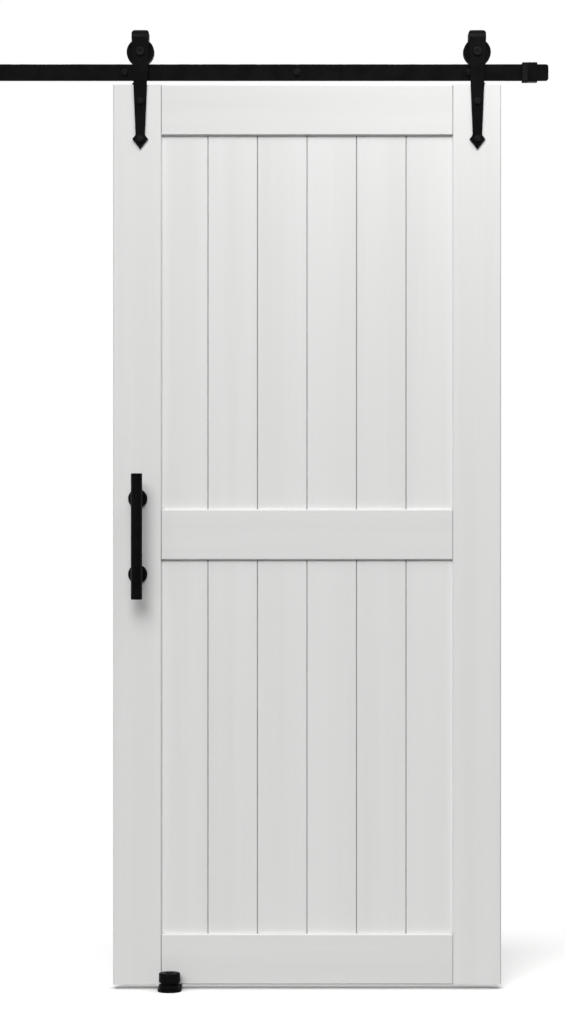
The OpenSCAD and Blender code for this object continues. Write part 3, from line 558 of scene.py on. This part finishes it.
def distance_from_leaf(tree):
    """How far a point of the floor lies from the middle of the oval round the leaf."""
    shift = tree.nodes.new("ShaderNodeMapping")
    shift.inputs["Location"].default_value = (FADE_X, FADE_Y, -floor_z)
    shift.inputs["Scale"].default_value = FADE_SCALE
    feed(tree, shift.inputs["Vector"], tree.nodes.new("ShaderNodeTexCoord").outputs["Object"])
    reach = tree.nodes.new("ShaderNodeVectorMath")
    reach.operation = "LENGTH"
    feed(tree, reach.inputs[0], shift.outputs["Vector"])
    return reach.outputs["Value"]


def make_pale_floor():
    """A matt floor, lifted a little where it is seen, that fades to the white ground further off."""
    material = bpy.data.materials.new("pale_floor")
    material.use_nodes = True
    tree = material.node_tree
    tree.nodes.clear()
    seen = camera_rays(tree)
    matt = tree.nodes.new("ShaderNodeBsdfDiffuse")
    feed(tree, matt.inputs["Color"], between(tree, seen, FLOOR_BOUNCE, FLOOR_SEEN))
    # Painted shade: the lift is held back where the floor is sheltered, under the leaf and round the guide.
    open_floor = spread(tree, open_sky(tree, LIFT_REACH), LIFT_SHUT, LIFT_OPEN, 0.0, FLOOR_LIFT)
    lift = emitter(tree, "ShaderNodeEmission", WHITE, sums(tree, "MULTIPLY", seen, open_floor))
    lit = tree.nodes.new("ShaderNodeAddShader")
    feed(tree, lit.inputs[0], matt.outputs["BSDF"])
    feed(tree, lit.inputs[1], lift)
    away = spread(tree, distance_from_leaf(tree), FADE_NEAR, FADE_FAR)
    ground = emitter(tree, "ShaderNodeEmission", WHITE, 1.0)
    surface = shader_between(tree, sums(tree, "MULTIPLY", away, seen), lit.outputs["Shader"], ground)
    out = tree.nodes.new("ShaderNodeOutputMaterial")
    feed(tree, out.inputs["Surface"], surface)
    return material


def make_floor():
    """The floor that takes the door's shadow close by."""
    bm = bmesh.new()
    bmesh.ops.create_grid(bm, x_segments=FLOOR_SQUARES, y_segments=FLOOR_SQUARES, size=FLOOR_HALF)
    bmesh.ops.translate(bm, verts=bm.verts, vec=(FLOOR_X, 0.0, floor_z - FLOOR_DROP))
    floor = object_from(bm, "floor", make_pale_floor())


def hang_lamp(lamp, towards, strength, colour):
    """Hangs a lamp that shines towards a direction."""
    lamp.energy, lamp.color = strength, colour
    stand = bpy.data.objects.new(lamp.name, lamp)
    stand.rotation_euler = Vector(towards).to_track_quat("-Z", "Y").to_euler()
    scene.collection.objects.link(stand)
    return stand


def softbox(name, place, aim, width, height, watts, colour):
    lamp = bpy.data.lights.new(name, "AREA")
    lamp.shape = "RECTANGLE"
    lamp.size, lamp.size_y = width, height
    stand = hang_lamp(lamp, Vector(aim) - Vector(place), watts, colour)
    stand.location = place


def far_lamp(name, towards, strength, width):
    """A lamp so far off that its light is even all over the door; width is the angle it fills."""
    lamp = bpy.data.lights.new(name, "SUN")
    lamp.angle = width
    hang_lamp(lamp, towards, strength, LAMP_WHITE)


def make_camera():
    """An eye square to the door, in front of the middle of the photograph's frame."""
    scale = (LEAF_RIGHT_PX - LEAF_LEFT_PX) / (leaf_high.x - leaf_low.x)
    eye_x = leaf_low.x + (EYE_X_PX - LEAF_LEFT_PX) / scale
    eye_z = leaf_high.z - (EYE_Y_PX - LEAF_TOP_PX) / scale
    lens = bpy.data.cameras.new("eye")
    lens.sensor_fit = "VERTICAL"
    lens.sensor_height = SENSOR
    lens.lens = EYE_DISTANCE * scale * SENSOR / IMAGE_H
    lens.clip_start = EYE_NEAREST
    eye = bpy.data.objects.new("eye", lens)
    eye.location = (eye_x, leaf_front - EYE_DISTANCE, eye_z)
    eye.rotation_euler = (math.pi / 2, 0, 0)
    scene.collection.objects.link(eye)
    scene.camera = eye


make_camera()
make_world()
make_floor()
far_lamp("high_lamp", towards=(0.18, 1.0, -0.78), strength=2.46, width=0.70)
far_lamp("back_lamp", towards=(-0.30, -1.0, -0.28), strength=1.7, width=0.70)
softbox(
    "ceiling_softbox", place=(0.95, -0.75, 0.75), aim=(0.75, -0.2, -0.6),
    width=1.2, height=0.8, watts=8.2, colour=CEILING_WHITE,
)
softbox(
    "side_softbox", place=(-2.6, -2.6, -1.2), aim=(0.35, 0, -1.3),
    width=1.4, height=2.0, watts=6, colour=SIDE_WHITE,
)
scene.view_settings.view_transform = "Standard"
